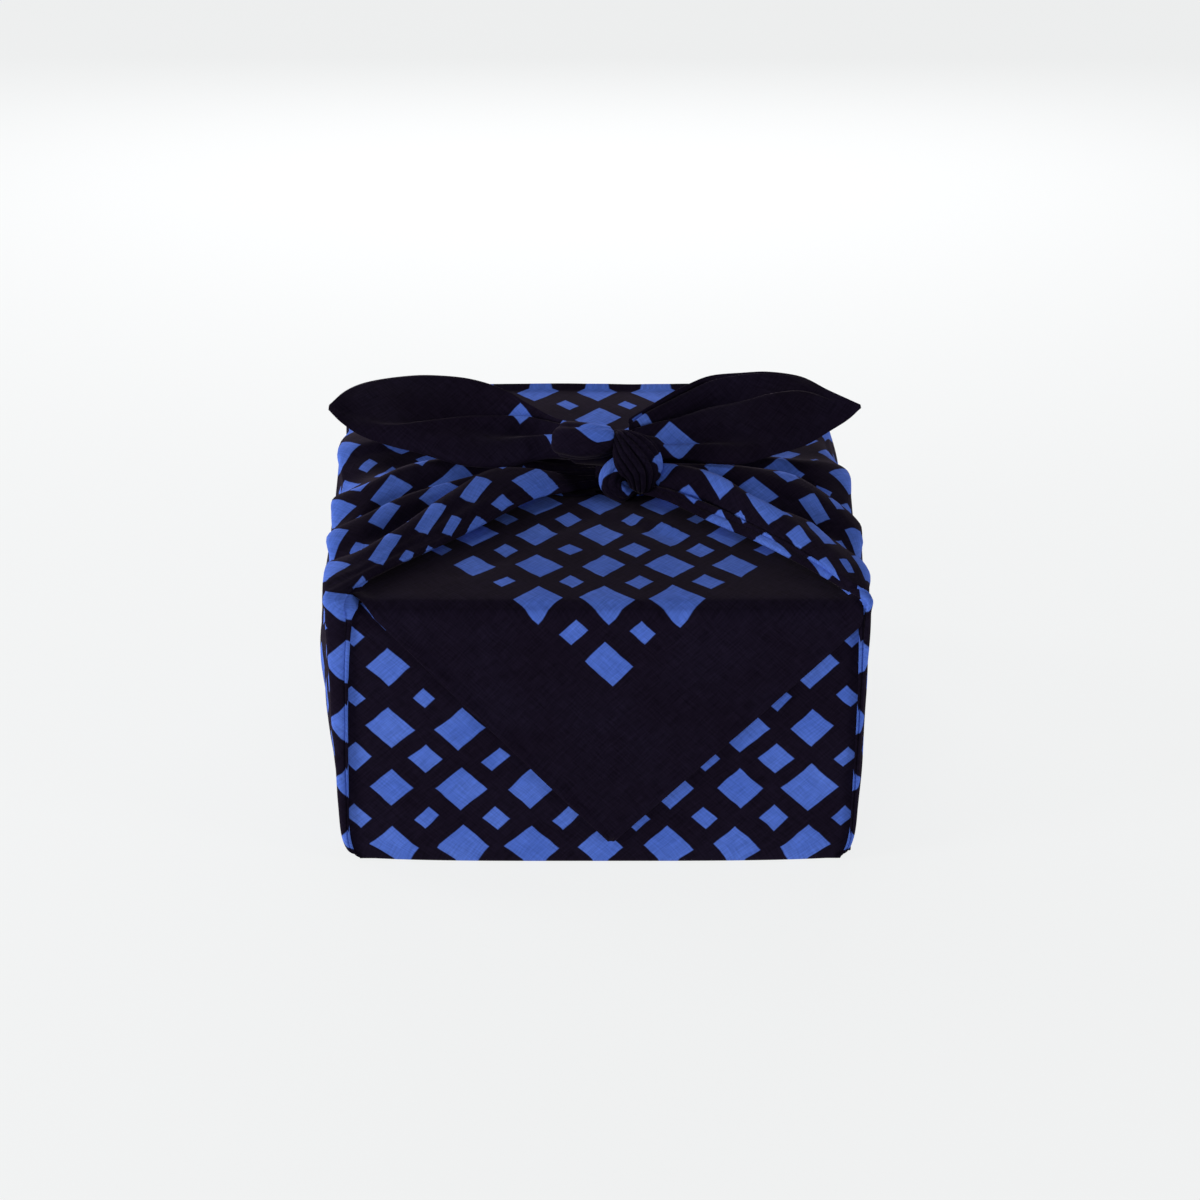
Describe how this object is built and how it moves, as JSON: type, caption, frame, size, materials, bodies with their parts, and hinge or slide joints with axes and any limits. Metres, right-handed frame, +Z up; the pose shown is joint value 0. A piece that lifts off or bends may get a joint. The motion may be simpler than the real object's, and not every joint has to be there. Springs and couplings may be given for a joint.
{
  "type": "furoshiki wrap",
  "caption": "Square cotton wrapping cloth folded round a box shape, with a hanging front flap and its ends tied in a knot on top.",
  "frame": {"origin": "middle of the base, on the surface that the wrap stands on", "axes": "+X to the wrap's right, through one gathered end; -Y to the front, where the flap hangs; +Z up"},
  "size_m": [0.2159, 0.1986, 0.1443],
  "materials": {
    "printed_cotton": "plain-woven cotton, dark navy with a border left plain and a blue print of plain squares, large and small by turns"
  },
  "bodies": {
    "root": {"furoshiki_cloth": "printed_cotton"}
  },
  "joints": []
}
